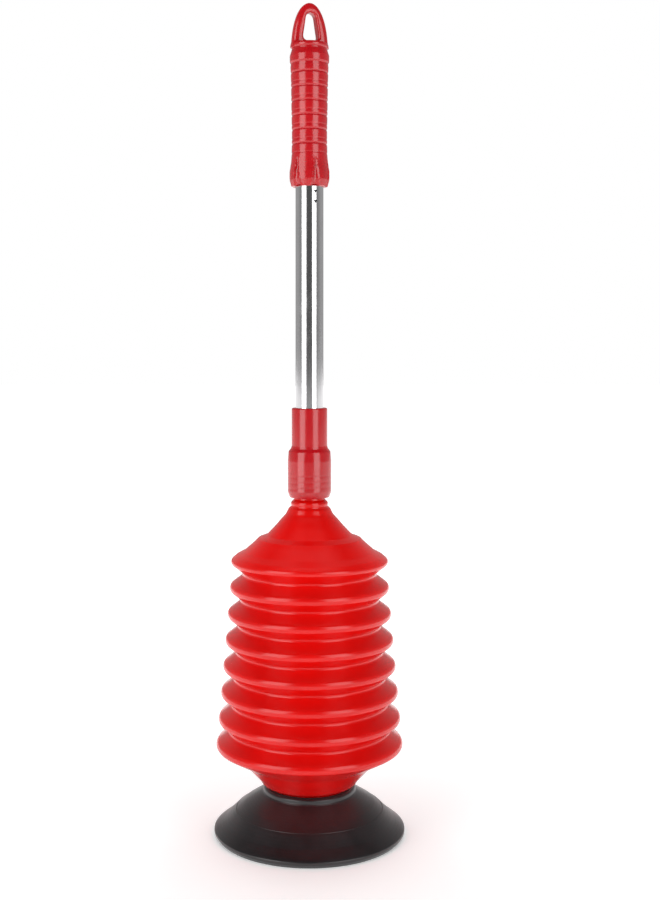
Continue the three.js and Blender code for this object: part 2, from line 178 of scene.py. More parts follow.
class Nodes:
    """A material's node tree, with short calls for the nodes used here."""

    def __init__(self, name):
        self.material = bpy.data.materials.new(name)
        self.material.use_nodes = True
        self.tree = self.material.node_tree
        self.shader = self.tree.nodes["Principled BSDF"]
        self.place = self.add("ShaderNodeTexCoord").outputs["Object"]

    def add(self, kind, **values):
        node = self.tree.nodes.new(kind)
        for key, value in values.items():
            setattr(node, key, value)
        return node

    def link(self, a, b):
        self.tree.links.new(a, b)

    def noise(self, scale, detail=3.0, roughness=0.5, stretch=(1, 1, 1)):
        """Noise between 0 and 1 over the object's own space. Scale is in waves a metre."""
        mapping = self.add("ShaderNodeMapping")
        mapping.inputs["Scale"].default_value = stretch
        self.link(self.place, mapping.inputs["Vector"])
        noise = self.add("ShaderNodeTexNoise")
        noise.inputs["Scale"].default_value = scale
        noise.inputs["Detail"].default_value = detail
        noise.inputs["Roughness"].default_value = roughness
        self.link(mapping.outputs["Vector"], noise.inputs["Vector"])
        return noise.outputs["Fac"]

    def remap(self, value, low, high, to_low, to_high):
        node = self.add("ShaderNodeMapRange")
        for key, number in zip(("From Min", "From Max", "To Min", "To Max"), (low, high, to_low, to_high)):
            node.inputs[key].default_value = number
        self.link(value, node.inputs["Value"])
        return node.outputs["Result"]

    def math(self, operation, a, b):
        node = self.add("ShaderNodeMath", operation=operation)
        for socket, value in zip(node.inputs, (a, b)):
            if isinstance(value, (int, float)):
                socket.default_value = value
            else:
                self.link(value, socket)
        return node.outputs["Value"]

    def ramp(self, value, *stops):
        """Colours over a value. Each stop is (position, (r, g, b))."""
        node = self.add("ShaderNodeValToRGB")
        elements = node.color_ramp.elements
        while len(elements) < len(stops):
            elements.new(0.5)
        for element, (position, colour) in zip(elements, stops):
            element.position = position
            element.color = (*colour, 1)
        self.link(value, node.inputs["Fac"])
        return node.outputs["Color"]

    def bump(self, height, distance, strength=1.0, under=None):
        """Bump of that distance in metres, over another bump's normal if given."""
        node = self.add("ShaderNodeBump")
        node.inputs["Distance"].default_value = distance
        node.inputs["Strength"].default_value = strength
        self.link(height, node.inputs["Height"])
        if under:
            self.link(under, node.inputs["Normal"])
        return node.outputs["Normal"]

    def set(self, **values):
        """Sets the shader's own sockets, or links outputs to them."""
        for key, value in values.items():
            socket = self.shader.inputs[key.replace("_", " ")]
            if isinstance(value, bpy.types.NodeSocket):
                self.link(value, socket)
            else:
                socket.default_value = value
        return self.material


def shade(colour, factor):
    return tuple(c * factor for c in colour)


def moulded_plastic(name, colour, gloss, grain, ior):
    """Coloured plastic straight from the mould: cloudy tint, faint flow marks and fine scuffs."""
    n = Nodes(name)
    cloud = n.noise(28, detail=4)
    tint = n.ramp(cloud, (0.3, shade(colour, 0.93)), (0.7, shade(colour, 1.04)))
    scuffs = n.noise(900, detail=2, stretch=(1, 1, 0.25))
    wear = n.remap(scuffs, 0.4, 0.8, 0.0, 0.05)
    smear = n.remap(n.noise(45, detail=5, roughness=0.6), 0.35, 0.7, gloss - 0.02, gloss + 0.04)
    ripple = n.bump(n.noise(60, detail=1), 0.00012, 0.22)
    skin = n.bump(n.noise(2600, detail=2), grain, 0.5, under=ripple)
    return n.set(Base_Color=tint, Roughness=n.math("ADD", smear, wear), Normal=skin, IOR=ior)


BELLOWS_RED = (0.74, 0.003, 0.002)
HANDLE_RED = (0.50, 0.005, 0.010)

bellows_material = moulded_plastic("bellows_red", BELLOWS_RED, 0.20, 0.00001, 1.5)
grip_material = moulded_plastic("grip_red", HANDLE_RED, 0.17, 0.000008, 1.62)
coupling_material = moulded_plastic("coupling_red", HANDLE_RED, 0.18, 0.000008, 1.62)


def polished_steel():
    """Drawn and polished stainless tube, with fine lines along it and small dull smudges."""
    n = Nodes("tube_steel")
    lines = n.noise(5200, detail=3, stretch=(1, 1, 0.012))
    smudge = n.noise(38, detail=5, roughness=0.62)
    rough = n.math("ADD", n.remap(lines, 0.3, 0.7, 0.09, 0.14), n.remap(smudge, 0.5, 0.8, 0.0, 0.10))
    tint = n.ramp(smudge, (0.35, (0.80, 0.79, 0.80)), (0.75, (0.70, 0.69, 0.70)))
    fine = n.bump(lines, 0.000006, 0.6)
    return n.set(Base_Color=tint, Metallic=1.0, Roughness=rough, Normal=fine)


def moulded_rubber():
    """Black cup rubber: fine grain, a dusty bloom in patches, and faint turning marks from its mould."""
    n = Nodes("cup_rubber")
    bloom = n.noise(34, detail=6, roughness=0.62)
    tint = n.ramp(bloom, (0.35, (0.005, 0.004, 0.005)), (0.72, (0.010, 0.009, 0.011)))
    split = n.add("ShaderNodeSeparateXYZ")
    n.link(n.place, split.inputs["Vector"])
    square = [n.math("MULTIPLY", split.outputs[axis], split.outputs[axis]) for axis in ("X", "Y")]
    radius = n.math("POWER", n.math("ADD", *square), 0.5)
    wander = n.math("MULTIPLY", n.noise(9, detail=2), 0.004)
    turning = n.math("SINE", n.math("MULTIPLY", n.math("ADD", radius, wander), TAU / 0.0021), 0)
    rough = n.math("ADD", n.remap(bloom, 0.3, 0.75, 0.30, 0.44), n.remap(turning, -1, 1, 0.0, 0.03))
    marks = n.bump(turning, 0.000012, 0.6)
    grain = n.bump(n.noise(1900, detail=3), 0.00005, 0.5, under=marks)
    n.set(Sheen_Weight=0.25, Sheen_Roughness=0.4)
    return n.set(Base_Color=tint, Roughness=rough, Normal=grain, IOR=1.65)


def soft_washer():
    n = Nodes("seal_rubber")
    dust = n.noise(260, detail=4)
    tint = n.ramp(dust, (0.4, (0.020, 0.020, 0.021)), (0.8, (0.045, 0.045, 0.047)))
    grain = n.bump(n.noise(3200, detail=2), 0.00005, 0.6)
    return n.set(Base_Color=tint, Roughness=n.remap(dust, 0.3, 0.7, 0.6, 0.75), Normal=grain)


# The plug's colour is not known. It is made dark so that the stake nicks in the tube read dark, which is
# painted shade in the nicks.
def plug_painted_shade():
    n = Nodes("plug_plastic")
    cloud = n.noise(120, detail=4)
    tint = n.ramp(cloud, (0.3, (0.012, 0.012, 0.013)), (0.7, (0.022, 0.022, 0.023)))
    grain = n.bump(n.noise(2400, detail=2), 0.00004, 0.5)
    return n.set(Base_Color=tint, Roughness=n.remap(cloud, 0.3, 0.7, 0.45, 0.6), Normal=grain)


steel_material = polished_steel()
rubber_material = moulded_rubber()
seal_material = soft_washer()
plug_painted_shade_material = plug_painted_shade()

# ------------------------------------------------------------------ bellows

RIDGES = 8
ROUND = 168  # facets round the bellows and the cup
WALL = 1.5
NOSE = 4.3  # fillet at a ridge
VALLEY = 2.1  # fillet at a valley
VALLEY_DEPTH = 9.4
VALLEY_RISE = 0.5


def ridge_size(ridge):
    """A ridge's radius and height, from the CAD rings. The first and last follow the rings' steps."""
    ring = min(max(ridge, 2), RIDGES - 1)
    low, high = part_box(f"bellows_ridge_{ring}")
    first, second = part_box("bellows_ridge_2"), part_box("bellows_ridge_3")
    radius_step = (second[1].x - first[1].x) / MM
    pitch = (first[0].z - second[0].z) / MM
    extra = ridge - ring
    return high.x / MM + radius_step * extra, (low.z + high.z) / 2 / MM - pitch * extra


def valley_corner(ridge):
    """The tip of the valley below a ridge, with its fillet."""
    (upper_radius, upper_height), (lower_radius, lower_height) = ridge_size(ridge), ridge_size(ridge + 1)
    radius = (upper_radius + lower_radius) / 2 - VALLEY_DEPTH
    return radius, (upper_height + lower_height) / 2 + VALLEY_RISE, VALLEY


foot_cone = [(37.1, 40.2, 0), (39.6, 43.8, 12), (43.4, 47.8, 14), (50.8, 55.8, 24)]
shoulder_cone = [
    (57.9, 217.6, 6),
    (51.6, 221, 14),
    (43.6, 228, 14),
    (40.6, 231, 1.4),
    (33.8, 233.6, 4),
    (26.4, 241.4, 1.6),
    (22.5, 246, 12),
    (18.7, 250, 10),
    (16.6, 254.4, 4),
]

corners = list(foot_cone)
nose_corner, apexes = {}, {}
for ridge in range(RIDGES, 0, -1):
    radius, height = ridge_size(ridge)
    nose_corner[ridge] = len(corners)
    apexes[len(corners)] = 1
    corners.append((radius, height, NOSE))
    if ridge > 1:
        apexes[len(corners)] = -1
        corners.append(valley_corner(ridge - 1))
corners += shoulder_cone
corners.append((14.3, 256.6, 0))

bellows_line, bellows_middles = rounded(settled(corners, apexes), steps=9)
bellows_normals = line_normals(bellows_line)
nose_index = {ridge: bellows_middles[corner] for ridge, corner in nose_corner.items()}


def uneven(angle, radius, height):
    """The slight unevenness of a blown wall."""
    wave = 0.10 * np.sin(2 * angle + height * 0.021) + 0.06 * np.sin(5 * angle - height * 0.05)
    sag = 0.12 * np.sin(angle + 1.1 + height * 0.013) + 0.08 * np.sin(3 * angle + height * 0.031)
    return radius + wave, height + sag


def bellows_piece(name, start, end, before=(), after=()):
    """The wall from one point of the bellows line to another, closed by an inner face. before and
    after are extra outline points that close the piece at its open end."""
    outer = bellows_line[start : end + 1]
    normals = bellows_normals[start : end + 1]
    inner = [tuple(np.array(p) - n * WALL) for p, n in zip(outer, normals)][::-1]
    outline = [*before, *outer, *after, *inner]
    shift = len(before)
    seams = []
    if not before:
        seams.append((shift, normals[0]))
    if not after:
        seams.append((shift + len(outer) - 1, normals[-1]))
    return turned(name, outline, ROUND, uneven, seams)


for ridge in range(1, RIDGES):
    fold = bellows_piece(f"bellows_fold_{ridge}", nose_index[ridge + 1], nose_index[ridge])
    nodes = [f"bellows_web_{ridge}"]
    if ridge + 1 < RIDGES:
        nodes.append(f"bellows_ridge_{ridge + 1}")
    finish_piece(fold, bellows_material, "bellows_red", *nodes)
    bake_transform(fold)

NECK_CORE = 12.3
NECK_BORE = 10.6
NECK_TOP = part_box("bellows_shoulder")[1].z / MM

neck_line, _ = rounded(
    [
        (14.3, 256.6, 0),
        (14.7, 257.3, 0.4),
        (14.7, 258.7, 0.4),
        (14.3, 259.7, 0.4),
        (NECK_CORE, 261.6, 0.8),
        (NECK_CORE, NECK_TOP, 0.5),
        (NECK_BORE, NECK_TOP, 0.5),
        (NECK_BORE, 252, 0),
    ],
    steps=4,
)
shoulder = bellows_piece("bellows_shoulder_skin", nose_index[1], len(bellows_line) - 1, after=neck_line[1:])
finish_piece(shoulder, bellows_material, "bellows_red", "bellows_shoulder")
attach(shoulder, "bellows_top")

FOOT_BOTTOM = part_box("bellows_foot")[0].z / MM
foot_mouth, _ = rounded(
    [
        (27, 39, 0),
        (27, FOOT_BOTTOM, 0.6),
        (31.6, FOOT_BOTTOM, 0.6),
        (34, FOOT_BOTTOM + 2, 0.8),
        (34, 27, 0.8),
        (30, 27, 0.6),
        (30, 37.2, 1.2),
        (37.1, 40.2, 0),
    ],
    steps=4,
)
foot = bellows_piece("bellows_foot_skin", 0, nose_index[RIDGES], before=foot_mouth[:-1])
finish_piece(foot, bellows_material, "bellows_red", "bellows_foot")
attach(foot, "foot")

# ------------------------------------------------------------------ screw threads

THREAD_PITCH = 4.5
THREAD_TURNS = 2.5
THREAD_START = 265.6


def screw_thread(name, wall_radius, side, start_angle):
    """A right-hand helix of trapezoidal section that stands off a wall, outwards (+1) or inwards (-1)."""
    steps = 150
    section = [(-0.5, -0.95), (1.15, -0.55), (1.3, -0.38), (1.3, 0.38), (1.15, 0.55), (-0.5, 0.95)]
    verts = []
    for i in range(steps + 1):
        along = i / steps
        fade = min(1.0, 0.1 + min(along, 1 - along) / 0.07)
        a = start_angle + along * THREAD_TURNS * TAU
        for stand, rise in section:
            r = wall_radius + side * (-0.5 + (stand + 0.5) * fade)
            z = THREAD_START + along * THREAD_TURNS * THREAD_PITCH + rise * (0.4 + 0.6 * fade)
            verts.append((r * math.cos(a), r * math.sin(a), z))
    count = len(section)
    faces = []
    for i in range(steps):
        for k in range(count):
            n = (k + 1) % count
            face = (i * count + k, i * count + n, (i + 1) * count + n, (i + 1) * count + k)
            faces.append(face[::-1] if side > 0 else face)
    first, last = tuple(range(count)), tuple(range(steps * count, (steps + 1) * count))
    faces.append(first if side > 0 else first[::-1])
    faces.append(last[::-1] if side > 0 else last)
    return make_object(name, verts, faces)


neck_thread = screw_thread("neck_thread", NECK_CORE, 1, 0)
finish_piece(neck_thread, bellows_material, "bellows_red")
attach(neck_thread, "bellows_top")

# ------------------------------------------------------------------ cup

CUP_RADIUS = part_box("cup_skirt")[1].x / MM
COLLAR_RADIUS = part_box("cup_collar")[1].x / MM
COLLAR_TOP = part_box("cup_collar")[1].z / MM
SPLIT_RADIUS = 57.4  # the mould line where the skirt meets the dome
SPLIT_HEIGHT = 19.2


def cup_ripple(angle, radius, height):
    """The rubber's slight unevenness, none of it at the lip, which lies flat."""
    free = np.clip((height - 3) / 12, 0, 1)
    return radius, height + 0.12 * free * np.sin(3 * angle + 0.4)


skirt_outer, _ = rounded(
    [
        (70.2, 0, 0),
        (72.8, 0, 0.3),
        (CUP_RADIUS, 2.6, 1.6),
        (CUP_RADIUS, 4.6, 1.0),
        (73.0, 6.0, 1.2),
        (66.4, 10.8, 25),
        (60.6, 16.2, 20),
        (SPLIT_RADIUS + 0.15, SPLIT_HEIGHT, 0.1),
        (SPLIT_RADIUS - 0.1, SPLIT_HEIGHT - 0.2, 0),
    ],
    steps=7,
)
skirt_inner = [(55.6, 16.8), (60, 13), (64.2, 8.6), (68.6, 4.4), (69.4, 1.2)]
skirt = turned("cup_skirt_skin", [*skirt_outer, *skirt_inner], ROUND, cup_ripple)
finish_piece(skirt, rubber_material, "cup_rubber", "cup_skirt")
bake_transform(skirt)

dome_outer, _ = rounded(
    [
        (SPLIT_RADIUS - 0.1, SPLIT_HEIGHT - 0.2, 0),
        (SPLIT_RADIUS - 0.25, SPLIT_HEIGHT + 0.1, 0.1),
        (51, 23.9, 20),
        (44, 28.2, 16),
        (COLLAR_RADIUS + 0.9, 32.3, 1.2),
        (COLLAR_RADIUS, 33.4, 0.8),
        (COLLAR_RADIUS, COLLAR_TOP - 2.2, 1.4),
        (COLLAR_RADIUS - 1.5, COLLAR_TOP - 1.2, 0.5),
        (33.4, COLLAR_TOP - 2.0, 0.5),
        (30.4, 36.8, 0.5),
        (30.4, 27.6, 0.5),
        (35.6, 28.4, 1.2),
    ],
    steps=6,
)
dome_inner = [(41.5, 25.6), (47.2, 22.4), (52.2, 19.4), (55.6, 16.8)]
dome = turned("cup_dome_skin", [*dome_outer, *dome_inner], ROUND, cup_ripple)
finish_piece(dome, rubber_material, "cup_rubber", "cup_dome", "cup_collar")
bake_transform(dome)

# ------------------------------------------------------------------ coupling, seal and plug

coupling_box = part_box("coupling")
COUPLING_BOTTOM = coupling_box[0].z / MM
COUPLING_TOP = coupling_box[1].z / MM
LOWER_RADIUS = coupling_box[1].x / MM
UPPER_RADIUS = 14.1
BARREL_FOOT, BARREL_END = 268.0, 291.0  # the straight stretch of the lower barrel
THREAD_BORE = 14.0
WEB_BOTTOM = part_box("neck_seal")[1].z / MM + 0.3
TUBE_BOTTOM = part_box("tube")[0].z / MM


def sunk_over_thread(angle, radius, height):
    """The lower barrel sinks a little over its thread, along the same helix."""
    phase = (height - THREAD_START) / THREAD_PITCH - (angle + math.pi) / TAU
    sink = 0.07 * (0.5 + 0.5 * np.cos(TAU * phase)) ** 3
    outside = (radius > THREAD_BORE + 2) & (height > COUPLING_BOTTOM + 3) & (height < 284)
    return radius - sink * outside, height


barrel = [(LOWER_RADIUS, height, 0) for height in np.arange(BARREL_FOOT, BARREL_END, 0.5)]
coupling_outer, _ = rounded(
    [
        (THREAD_BORE, WEB_BOTTOM, 0.3),
        (THREAD_BORE, COUPLING_BOTTOM, 0.4),
        (LOWER_RADIUS - 1.5, COUPLING_BOTTOM, 0.4),
        (LOWER_RADIUS - 0.4, COUPLING_BOTTOM + 3.0, 3),
        *barrel,
        (LOWER_RADIUS, BARREL_END + 1, 8),
        (LOWER_RADIUS - 0.6, 299.2, 2.6),
        (UPPER_RADIUS + 0.5, 301.7, 0.5),
        (UPPER_RADIUS, 303.6, 1.5),
        (UPPER_RADIUS, COUPLING_TOP - 0.7, 0.5),
        (UPPER_RADIUS - 0.7, COUPLING_TOP, 0.3),
        (11.25, COUPLING_TOP, 0.2),
        (11.25, TUBE_BOTTOM - 0.3, 0.2),
    ],
    steps=5,
)
outline = [(0, WEB_BOTTOM), *coupling_outer, (0, TUBE_BOTTOM - 0.3)]
coupling = turned("coupling_skin", outline, 144, sunk_over_thread)
finish_piece(coupling, coupling_material, "coupling_red", "coupling")
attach(coupling, "handle")

socket_thread = screw_thread("coupling_thread", THREAD_BORE, -1, math.pi)
finish_piece(socket_thread, coupling_material, "coupling_red")
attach(socket_thread, "handle")

seal_low, seal_high = (corner.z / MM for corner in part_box("neck_seal"))
seal_line, _ = rounded(
    [
        (11, seal_low, 0),
        (13.1, seal_low, 0.5),
        (13.1, seal_high, 0.5),
        (9.6, seal_high, 0.5),
        (9.6, seal_low, 0.5),
        (11, seal_low, 0),
    ],
    steps=4,
)
seal = turned("neck_seal_skin", seal_line[:-1], 96)
finish_piece(seal, seal_material, "seal_rubber", "neck_seal")
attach(seal, "seal")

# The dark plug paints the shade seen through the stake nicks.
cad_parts["grip_plug"].data.materials.clear()
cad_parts["grip_plug"].data.materials.append(plug_painted_shade_material)

# ------------------------------------------------------------------ tube

TUBE_RADIUS = 11.0
TUBE_WALL = 0.5
TUBE_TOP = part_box("tube")[1].z / MM
STAKE_HEIGHTS = (495.3, 503.2)
STAKE_WIDTH = 3.8
STAKE_DEPTH = 1.6
STAKE_TURN = math.radians(25)

tube_outer, _ = rounded(
    [
        (TUBE_RADIUS - TUBE_WALL, TUBE_TOP - 1, 0),
        (TUBE_RADIUS - TUBE_WALL, TUBE_BOTTOM, 0.1),
        (TUBE_RADIUS, TUBE_BOTTOM, 0.2),
        *[(TUBE_RADIUS, height, 0) for height in np.linspace(TUBE_BOTTOM + 10, 490, 12)],
        *[(TUBE_RADIUS, height, 0) for height in np.arange(491.0, 509.0, 1.0)],
        (TUBE_RADIUS, TUBE_TOP, 0.2),
        (TUBE_RADIUS - TUBE_WALL, TUBE_TOP, 0.1),
        (TUBE_RADIUS - TUBE_WALL, TUBE_TOP - 1, 0),
    ],
    steps=4,
)
tube = turned("tube_skin", tube_outer[:-1], 120)


def stake_cutter(height):
    """A small wedge that punches a triangular nick through the tube's wall."""
    half = STAKE_WIDTH / 2
    outline = [(-half, half * 0.7), (0, -half * 0.9), (half, half * 0.7)]
    across = (math.cos(STAKE_TURN), math.sin(STAKE_TURN))
    out = (math.sin(STAKE_TURN), -math.cos(STAKE_TURN))
    verts = []
    for depth, size in ((TUBE_RADIUS - STAKE_DEPTH, 0.5), (TUBE_RADIUS + 0.6, 1.1)):
        for side, rise in outline:
            x = out[0] * depth + across[0] * side * size
            y = out[1] * depth + across[1] * side * size
            verts.append((x, y, height + rise * size))
    faces = [(2, 1, 0), (3, 4, 5), (1, 4, 3, 0), (2, 5, 4, 1), (0, 3, 5, 2)]
    return make_object("stake_cutter", verts, faces)


for height in STAKE_HEIGHTS:
    cutter = stake_cutter(height)
    modifier = tube.modifiers.new("punch", "BOOLEAN")
    modifier.operation = "DIFFERENCE"
    modifier.solver = "EXACT"
    modifier.object = cutter
    evaluated = tube.evaluated_get(bpy.context.evaluated_depsgraph_get())
    punched = bpy.data.meshes.new_from_object(evaluated)
    tube.modifiers.clear()
    tube.data = punched
    bpy.data.objects.remove(cutter)
tube.data.shade_smooth()
tube.data.set_sharp_from_angle(angle=math.radians(30))
finish_piece(tube, steel_material, "tube_steel", "tube")
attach(tube, "handle")

# ------------------------------------------------------------------ grip

GRIP_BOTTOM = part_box("grip")[0].z / MM
GRIP_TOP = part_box("grip")[1].z / MM
GRIP_TURN = math.radians(19)
GRIP_SEGMENTS = 180
RING_PITCH = 11.2
STRONG_RINGS = [596.9 - RING_PITCH * k for k in range(6)]
WEAK_RINGS = [height + 3.8 for height in STRONG_RINGS[1:]] + [STRONG_RINGS[-1] - 7.2]
FLUTES = 6
FLUTE_TOP = 531.0
BAND_TOP = 616.9  # the groove under the loop's bead, where the loop's own piece begins

grip_corners = [
    (12.8, GRIP_BOTTOM + 0.4, 0.4),
    (14.0, GRIP_BOTTOM + 0.5, 1.2),
    (15.4, 513, 6),
    (15.5, 519, 6),
    (14.5, 526, 12),
    (14.1, 533, 16),
    (13.85, 548, 0),
    (14.2, 565, 0),
    (14.6, 590, 0),
    (15.0, 601.8, 1.2),
    (14.7, 604.2, 0.5),
    (15.5, 605.8, 0.8),
    (15.6, 610.4, 3.0),
    (14.1, 615.2, 1.4),
    (13.8, BAND_TOP, 0),
]


def fine_line(corner_line, spacing):
    """The same line with points at most a spacing apart."""
    points = [corner_line[0]]
    for a, b in zip(corner_line[:-1], corner_line[1:]):
        count = max(1, math.ceil(math.dist(a, b) / spacing))
        points += [tuple(np.array(a) + (np.array(b) - np.array(a)) * k / count) for k in range(1, count + 1)]
    return points


STRONG_DEPTH, STRONG_WIDTH = 0.55, 0.75
WEAK_DEPTH, WEAK_WIDTH = 0.26, 0.65
FLUTE_DEPTH = 1.5
FLUTE_LIP = 0.28  # how far the rim of a flute stands up
HEM_HEIGHT = 3.2
HEM_LIFT = 1.1  # how far the hem rises under a flute


def dent(distance, width):
    """A smooth dent of depth 1 at distance 0."""
    return np.exp(-((distance / width) ** 2))


def grip_shape(angle, radius, height):
    """Ring grooves round the barrel, and flutes round the bell that run out in a point."""
    outside = radius > 12.8
    cut = np.zeros_like(radius)
    for ring in STRONG_RINGS:
        cut += STRONG_DEPTH * dent(height - ring, STRONG_WIDTH)
    for ring in WEAK_RINGS:
        cut += WEAK_DEPTH * dent(height - ring, WEAK_WIDTH)
    share = np.clip((FLUTE_TOP - height) / (FLUTE_TOP - GRIP_BOTTOM), 0, 1)
    turn = angle + math.pi / 2 - GRIP_TURN
    nearest = (turn + math.pi / FLUTES) % (TAU / FLUTES) - math.pi / FLUTES
    across = np.abs(nearest) * radius
    half_width = 0.4 + 3.3 * share**0.75
    inside_flute = np.clip(1 - (across / half_width) ** 2, 0, 1)
    depth = FLUTE_DEPTH * np.minimum(1, share * 3.2)
    lip = FLUTE_LIP * dent(across - half_width * 1.06, 0.55) * np.minimum(1, share * 4)
    cut += depth * inside_flute**0.8 * (share > 0) - lip * (share > 0)
    hem = np.clip((GRIP_BOTTOM + HEM_HEIGHT - height) / HEM_HEIGHT, 0, 1)
    lift = HEM_LIFT * inside_flute * hem
    return radius - cut * outside, height + lift * outside


grip_line, _ = rounded(grip_corners, steps=8)
grip_outer = fine_line(grip_line, 0.45)
grip_outline = [
    (0, 603.5),
    (6.3, 603.5),
    (6.3, TUBE_TOP + 0.3),
    (11.25, TUBE_TOP + 0.3),
    (11.25, GRIP_BOTTOM + 1.2),
    (11.7, GRIP_BOTTOM + 0.5),
    *grip_outer,
    (0, BAND_TOP),
]
grip = turned("grip_barrel", grip_outline, GRIP_SEGMENTS, grip_shape)
finish_piece(grip, grip_material, "grip_red", "grip")
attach(grip, "handle")


def surface_net(field, origin, step):
    """The zero surface of a 3-D field as quads: one point in each cell that the surface crosses, at
    the mean of the crossings on the cell's edges. The field is negative inside."""
    inside_field = field < 0
    cells = tuple(n - 1 for n in field.shape)
    total, count = np.zeros((*cells, 3)), np.zeros(cells)

    def corner(offset):
        return tuple(slice(o, o + n) for o, n in zip(offset, cells))

    for axis in range(3):
        others = [a for a in range(3) if a != axis]
        for flags in ((0, 0), (0, 1), (1, 0), (1, 1)):
            low = [0, 0, 0]
            low[others[0]], low[others[1]] = flags
            high = list(low)
            high[axis] = 1
            a, b = field[corner(low)], field[corner(high)]
            crossed = (a < 0) != (b < 0)
            share = np.where(crossed, a / np.where(crossed, a - b, 1), 0)
            for d in range(3):
                total[..., d] += np.where(crossed, low[d] + (share if d == axis else 0), 0)
            count += crossed
    used = count > 0
    index = np.full(cells, -1)
    index[used] = np.arange(used.sum())
    where = np.argwhere(used)
    verts = (where + total[used] / count[used][:, None]) * step + np.array(origin)
    faces = []
    for axis in range(3):
        u, v = (axis + 1) % 3, (axis + 2) % 3
        low = [slice(1, -1)] * 3
        low[axis] = slice(0, -1)
        high = list(low)
        high[axis] = slice(1, None)
        a, b = inside_field[tuple(low)], inside_field[tuple(high)]
        for start, flip in ((a & ~b, False), (~a & b, True)):
            at = np.argwhere(start)
            at[:, u] += 1
            at[:, v] += 1
            ring = []
            for du, dv in ((0, 0), (-1, 0), (-1, -1), (0, -1)):
                cell = at.copy()
                cell[:, u] += du
                cell[:, v] += dv
                ring.append(index[tuple(cell.T)])
            quads = np.column_stack(ring)
            faces.extend((quads[:, ::-1] if flip else quads).tolist())
    return verts, faces


def smooth_min(a, b, reach):
    """The union of two fields, with a fillet about as wide as reach."""
    h = np.clip(0.5 + 0.5 * (b - a) / reach, 0, 1)
    return b + (a - b) * h - reach * h * (1 - h)


def smooth_max(a, b, reach):
    return -smooth_min(-a, -b, reach)


LOOP_HALF_THICKNESS = 5.0
ARCH_FOOT, ARCH_HALF = 606.0, 15.1  # where the oval of the arch is widest, and half its width there
LOOP_EDGE, EYE_CORNER, EYE_EDGE = 4.2, 5.0, 2.2  # rounding of the loop's and the eye's edges
EYE_HALF, EYE_TAPER = 7.0, 3.6
BEAD_RING, BEAD_HEIGHT, BEAD_RADIUS = 12.6, 618.6, 2.0
DOME_RADIUS, DOME_FOOT, DOME_RISE = 13.8, 617, 4.0
BEAD_FILLET, LOOP_FILLET = 0.6, 1.6
EYE_BOTTOM, EYE_TOP = 622.4, 644.6


def loop_field(x, y, z):
    """The grip's end as a field: a bead and a domed end, and a flat arch with an eye through it."""
    across = x * math.cos(GRIP_TURN) + y * math.sin(GRIP_TURN)
    through = -x * math.sin(GRIP_TURN) + y * math.cos(GRIP_TURN)
    # The arch is the part of a tall oval that stands above the bead.
    low = np.clip((z - ARCH_FOOT) / (GRIP_TOP - ARCH_FOOT), 0, 1.4)
    oval = np.sqrt((across / ARCH_HALF) ** 2 + low**2.6)
    arch = (oval - 1) * ARCH_HALF * 0.75
    plate = np.abs(through) - LOOP_HALF_THICKNESS
    body = smooth_max(arch, plate, LOOP_EDGE)
    # The eye is a rounded trapezium, wide at its foot.
    share = np.clip((z - EYE_BOTTOM) / (EYE_TOP - EYE_BOTTOM), 0, 1)
    eye_half = EYE_HALF - EYE_TAPER * share
    sides = (np.abs(across) - eye_half) * 0.98
    ends = np.abs(z - (EYE_BOTTOM + EYE_TOP) / 2) - (EYE_TOP - EYE_BOTTOM) / 2
    eye = smooth_max(sides, ends, EYE_CORNER)
    body = smooth_max(body, -eye, EYE_EDGE)
    # The bead and the domed end that closes the barrel.
    from_axis = np.sqrt(x**2 + y**2)
    bead = np.sqrt((from_axis - BEAD_RING) ** 2 + (z - BEAD_HEIGHT) ** 2) - BEAD_RADIUS
    rise = np.maximum(z - DOME_FOOT, 0) / DOME_RISE
    dome = (np.sqrt((from_axis / DOME_RADIUS) ** 2 + rise**2) - 1) * DOME_RISE
    closed = smooth_min(bead, dome, BEAD_FILLET)
    closed = np.maximum(closed, BAND_TOP - 0.4 - z)
    whole = smooth_min(body, closed, LOOP_FILLET)
    return np.maximum(whole, BAND_TOP - 0.4 - z)


LOOP_STEP = 0.41
loop_low = np.array([-16.5, -16.5, BAND_TOP - 2.0])
loop_size = np.array([33.0, 33.0, GRIP_TOP + 1.5 - loop_low[2]])
grid = [np.arange(low, low + size, LOOP_STEP) for low, size in zip(loop_low, loop_size)]
loop_values = loop_field(*np.meshgrid(*grid, indexing="ij"))
loop_verts, loop_faces = surface_net(loop_values, loop_low, LOOP_STEP)
loop_verts[:, 2] = np.minimum(loop_verts[:, 2], GRIP_TOP)
loop = make_object("grip_loop", loop_verts, loop_faces)
finish_piece(loop, grip_material, "grip_red")
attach(loop, "handle")

# ------------------------------------------------------------------ studio


# The studio is white behind the object and grey on the camera's side. Each is a share of white, and
# the turn from one to the other lies between these two values of a direction's Y.
WHITE_SIDE, GREY_SIDE = 1.0, 0.39
FLOOR_GLOW = 0.3
FLOOR_HALF = 9000
GREY_FROM, WHITE_FROM = -0.75, -0.15


